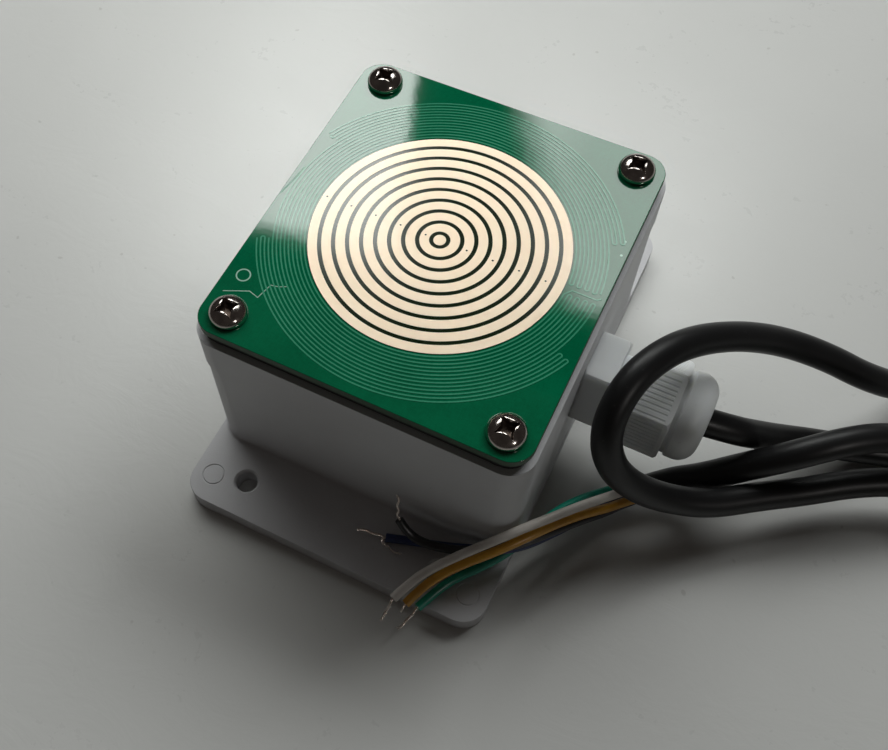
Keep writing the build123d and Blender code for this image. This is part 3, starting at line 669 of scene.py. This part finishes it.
def recessEdge(angle):
    # how far the four-winged recess reaches from the screw's axis at an angle
    power, end = screwSettings["wingPower"], screwSettings["wingEnd"]
    wing = (abs(math.cos(angle)) ** power + abs(math.sin(angle)) ** power) ** (-1 / power)
    return screwSettings["recessReach"] * min(wing, end) / end


def screwProfile(edge):
    # radius and height of each ring, from the recess's middle over the dome and down to the point
    settings = screwSettings
    radius, top = settings["headRadius"], settings["headHeight"]

    def domeHeight(r):
        share = math.sqrt(max(0.0, 1 - (r / radius) ** settings["domePower"]))
        return settings["rimHeight"] + (top - settings["rimHeight"]) * share

    profile = []
    for share in settings["floorRings"]:
        rise = settings["floorRise"] * (edge * share / settings["recessReach"]) ** 2
        profile.append((edge * share, top - settings["recessDepth"] + rise))
    for outwards, down in settings["lipRings"]:
        profile.append((edge + outwards, domeHeight(edge) - down))
    lip = profile[-1][0]
    for ring in range(1, settings["domeRings"] + 1):
        r = lip + (radius - lip) * math.sin(ring / settings["domeRings"] * math.pi / 2)
        profile.append((r, domeHeight(r)))
    profile.append((radius, settings["rimRounding"]))
    profile.append((radius - settings["rimRounding"], 0.0))
    profile.append((settings["shankRadius"], 0.0))
    profile.append((settings["shankRadius"], settings["pointLength"] - settings["shankLength"]))
    profile.append((settings["pointRadius"], -settings["shankLength"]))
    return profile


def screwForm():
    # a domed head with a four-winged recess, on a plain shank
    count = screwSettings["segments"]
    recessRings = len(screwSettings["floorRings"]) + 1  # the floor and the foot of the lip
    angles = [2 * math.pi * k / count for k in range(count)]
    profiles = [screwProfile(recessEdge(angle)) for angle in angles]
    bm = bmesh.new()
    # the recess mark tells the screw's material where to paint shade on the recess floor
    recess = bm.verts.layers.float.new("recess")
    rings = []
    for ring in range(len(profiles[0])):
        row = []
        for angle, profile in zip(angles, profiles):
            r, z = profile[ring]
            place = Vector((r * math.cos(angle), r * math.sin(angle), z)) * millimetre
            row.append(bm.verts.new(place))
            row[-1][recess] = 1.0 if ring < recessRings else 0.0
        rings.append(row)
    for inner, outer in zip(rings, rings[1:]):
        for k in range(count):
            bm.faces.new((inner[k], outer[k], outer[(k + 1) % count], inner[(k + 1) % count]))
    bm.faces.new(rings[0])
    bm.faces.new(list(reversed(rings[-1])))
    for face in bm.faces:
        face.smooth = True
    for rim in bm.edges:
        rim.smooth = rim.calc_face_angle(0) < math.radians(screwSettings["sharpAngle"])
    return meshObject("lid_screws", bm, nickel)


def cornersTree():
    # one form set at the four corners of a rectangle, each turned its own way
    tree = bpy.data.node_groups.new("formAtCorners", "GeometryNodeTree")
    tree.is_modifier = True
    tree.interface.new_socket("Geometry", in_out="INPUT", socket_type="NodeSocketGeometry")
    for name in ("Spacing X", "Spacing Y", "Seat Height", "Least Turn", "Most Turn"):
        tree.interface.new_socket(name, in_out="INPUT", socket_type="NodeSocketFloat")
    tree.interface.new_socket("Seed", in_out="INPUT", socket_type="NodeSocketInt")
    tree.interface.new_socket("Material", in_out="INPUT", socket_type="NodeSocketMaterial")
    tree.interface.new_socket("Geometry", in_out="OUTPUT", socket_type="NodeSocketGeometry")
    given = tree.nodes.new("NodeGroupInput").outputs
    corners = shaderNode(tree, "GeometryNodeMeshGrid",
                         {"Size X": given["Spacing X"], "Size Y": given["Spacing Y"],
                          "Vertices X": 2, "Vertices Y": 2})
    lift = shaderNode(tree, "ShaderNodeCombineXYZ", {"Z": given["Seat Height"]})
    seated = shaderNode(tree, "GeometryNodeSetPosition",
                        {"Geometry": corners.outputs["Mesh"], "Offset": lift.outputs[0]})
    # inputs 2 and 3 of the random value are its least and most as a number, and output 1 is the number
    turn = shaderNode(tree, "FunctionNodeRandomValue",
                      {2: given["Least Turn"], 3: given["Most Turn"], "Seed": given["Seed"]},
                      data_type="FLOAT")
    spin = shaderNode(tree, "ShaderNodeCombineXYZ", {"Z": turn.outputs[1]})
    placed = shaderNode(tree, "GeometryNodeInstanceOnPoints",
                        {"Points": seated.outputs[0], "Instance": given["Geometry"],
                         "Rotation": spin.outputs[0]})
    real = shaderNode(tree, "GeometryNodeRealizeInstances", {"Geometry": placed.outputs[0]})
    painted = shaderNode(tree, "GeometryNodeSetMaterial",
                         {"Geometry": real.outputs[0], "Material": given["Material"]})
    finished = tree.nodes.new("NodeGroupOutput")
    link(tree, painted.outputs[0], finished.inputs[0])
    return tree


def growFrom(piece, tree, values):
    # set a tree's named inputs by their identifiers, then keep its result as a plain mesh
    grower = piece.modifiers.new(tree.name, "NODES")
    grower.node_group = tree
    for socket in tree.interface.items_tree:
        if socket.in_out == "INPUT" and socket.name in values:
            grower[socket.identifier] = values[socket.name]
    bakeModifiers(piece)


screws = screwForm()
growFrom(screws, cornersTree(), {
    "Spacing X": screwSettings["spacing"][0] * millimetre,
    "Spacing Y": screwSettings["spacing"][1] * millimetre,
    "Seat Height": screwSettings["seatHeight"] * millimetre,
    "Least Turn": math.radians(screwSettings["turn"][0]),
    "Most Turn": math.radians(screwSettings["turn"][1]),
    "Seed": screwSettings["seed"],
    "Material": nickel,
})
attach(screws, "root")
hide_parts("lid_screw_1", "lid_screw_2", "lid_screw_3", "lid_screw_4")
print("screws set")


floorSettings = {
    "size": 3.0,  # metres
    "shade": (0.60, 0.605, 0.59),
    "colour": (0.68, 0.685, 0.665),
    "speckColour": (0.34, 0.33, 0.31),
}


def makeFloor():
    # a pale laminate table, cloudy and unevenly glossy, with a few specks
    bm = bmesh.new()
    half = floorSettings["size"] / 2
    corners = ((-half, -half), (half, -half), (half, half), (-half, half))
    bm.faces.new([bm.verts.new((x, y, 0)) for x, y in corners])
    material, tree, surface, place = newMaterial("tableTop", IOR=1.5, Specular_IOR_Level=0.5)
    cloud = noise(tree, place, 9, 4, 0.6, 0.3)
    mottle = noise(tree, stretch(tree, place, (70, 110, 90), (0, 0, 0.5)), 1, 4, 0.65, 0.8)
    fine = noise(tree, place, 620, 3, 0.6)
    speck = ramp(tree, noise(tree, place, 330, 1, 0.5), 0.76, 0.80)
    tone = between(tree, cloud, floorSettings["shade"], floorSettings["colour"])
    tone = between(tree, calc(tree, "MULTIPLY", speck, 0.35), tone, floorSettings["speckColour"])
    link(tree, tone, surface.inputs["Base Color"])
    rough = calc(tree, "MULTIPLY_ADD", fine, 0.14, 0.16)
    link(tree, calc(tree, "MULTIPLY_ADD", mottle, 0.16, rough), surface.inputs["Roughness"])
    wave = bump(tree, mottle, 0.00025, 0.3)
    link(tree, bump(tree, fine, 0.00004, 0.25, wave), surface.inputs["Normal"])
    return meshObject("floor", bm, material)


windowSettings = {
    # metres; a fade runs from dark to full light
    "height": 0.4,
    "corners": ((-0.40, 0.52), (0.12, 0.52), (0.12, 0.18), (-0.40, 0.18)),  # it faces down
    "leftFade": (-0.36, -0.30),
    "rightFade": (0.08, 0.03),
    "farFade": (0.50, 0.44),
    "nearSlope": -0.141,  # the near edge runs slightly askew
    "nearFade": (0.233, 0.249),
    "leftPaneSlope": -0.35,
    "leftPaneEdge": -0.0465,
    "leftPaneFade": (-0.001, 0.006),
    "rightPaneSlope": 0.62,
    "rightPaneEdge": 0.1235,
    "rightPaneFade": (-0.016, 0.022),
    "dimming": {"From Min": -0.15, "From Max": -0.05, "To Min": 1.0, "To Max": 0.6},
    "colour": (0.97, 1.0, 0.97, 1),
    "strength": 9.0,
}


def makeWindowPanel():
    # the soft window high behind the part, with a darker bar down its middle
    settings = windowSettings
    bm = bmesh.new()
    bm.faces.new([bm.verts.new((x, y, settings["height"])) for x, y in settings["corners"]])
    material = bpy.data.materials.new("windowGlow")
    material.use_nodes = True
    tree = material.node_tree
    tree.nodes.clear()
    place = tree.nodes.new("ShaderNodeTexCoord").outputs["Object"]
    parts = shaderNode(tree, "ShaderNodeSeparateXYZ", {0: place})
    x, y = parts.outputs["X"], parts.outputs["Y"]
    near = ramp(tree, calc(tree, "MULTIPLY_ADD", x, settings["nearSlope"], y), *settings["nearFade"])
    left = ramp(tree, x, *settings["leftFade"])
    right = ramp(tree, x, *settings["rightFade"])
    far = ramp(tree, y, *settings["farFade"])
    # two panes with slanted inner edges: the left one's is crisp, the right one's soft
    leftEdge = calc(tree, "MULTIPLY_ADD", y, settings["leftPaneSlope"], settings["leftPaneEdge"])
    leftPane = ramp(tree, calc(tree, "SUBTRACT", leftEdge, x), *settings["leftPaneFade"])
    pastRight = calc(tree, "SUBTRACT", x, settings["rightPaneEdge"])
    pastRight = calc(tree, "MULTIPLY_ADD", y, settings["rightPaneSlope"], pastRight)
    rightPane = ramp(tree, pastRight, *settings["rightPaneFade"])
    strength = calc(tree, "MAXIMUM", leftPane, rightPane)
    dimmer = shaderNode(tree, "ShaderNodeMapRange", {"Value": x, **settings["dimming"]}).outputs[0]
    for share in (near, left, right, far, dimmer, settings["strength"]):
        strength = calc(tree, "MULTIPLY", strength, share)
    glow = shaderNode(tree, "ShaderNodeEmission", {"Color": settings["colour"], "Strength": strength})
    output = tree.nodes.new("ShaderNodeOutputMaterial")
    link(tree, glow.outputs[0], output.inputs["Surface"])
    panel = meshObject("window_panel", bm, material)
    panel.visible_camera = False
    panel.visible_diffuse = False
    panel.visible_shadow = False
    return panel


lightSettings = {
    # place, target and size in metres, power in watts, colour
    "windowLight": ((-0.20, 0.25, 0.32), (0, 0, 0), (0.46, 0.34), 1.12, (0.98, 1.0, 0.98)),
    "sideLight": ((0.20, 0.62, 0.66), (0.02, 0, 0), (0.46, 0.34), 3.5, (0.98, 1.0, 0.99)),
    "glintLight": ((0.45, -0.22, 0.36), (0, 0, 0), (0.07, 0.04), 0.3, (1.0, 0.96, 0.92)),
}
worldSettings = {
    "colour": (1.0, 0.88, 0.80, 1),
    "strength": 0.032,
    "seenStrength": 0.66,  # added where the camera sees past the table
}


def areaLight(name, location, target, size, power, colour):
    data = bpy.data.lights.new(name, "AREA")
    data.shape = "RECTANGLE"
    data.size, data.size_y = size
    data.energy = power
    data.color = colour
    made = bpy.data.objects.new(name, data)
    scene.collection.objects.link(made)
    made.location = location
    made.rotation_euler = (Vector(target) - Vector(location)).to_track_quat("-Z", "Y").to_euler()
    return made


makeFloor()
makeWindowPanel()
lights = {name: areaLight(name, *values) for name, values in lightSettings.items()}
# the window panel makes the large reflections, and the glint light only the small ones
lights["windowLight"].visible_glossy = False
lights["sideLight"].visible_glossy = False
lights["glintLight"].visible_diffuse = False

world = bpy.data.worlds.new("studio")
scene.world = world
world.use_nodes = True
worldTree = world.node_tree
background = worldTree.nodes["Background"]
background.inputs["Color"].default_value = worldSettings["colour"]
cameraRay = worldTree.nodes.new("ShaderNodeLightPath").outputs["Is Camera Ray"]
seen = calc(worldTree, "MULTIPLY_ADD", cameraRay, worldSettings["seenStrength"], worldSettings["strength"])
link(worldTree, seen, background.inputs["Strength"])
print("stage and light set")
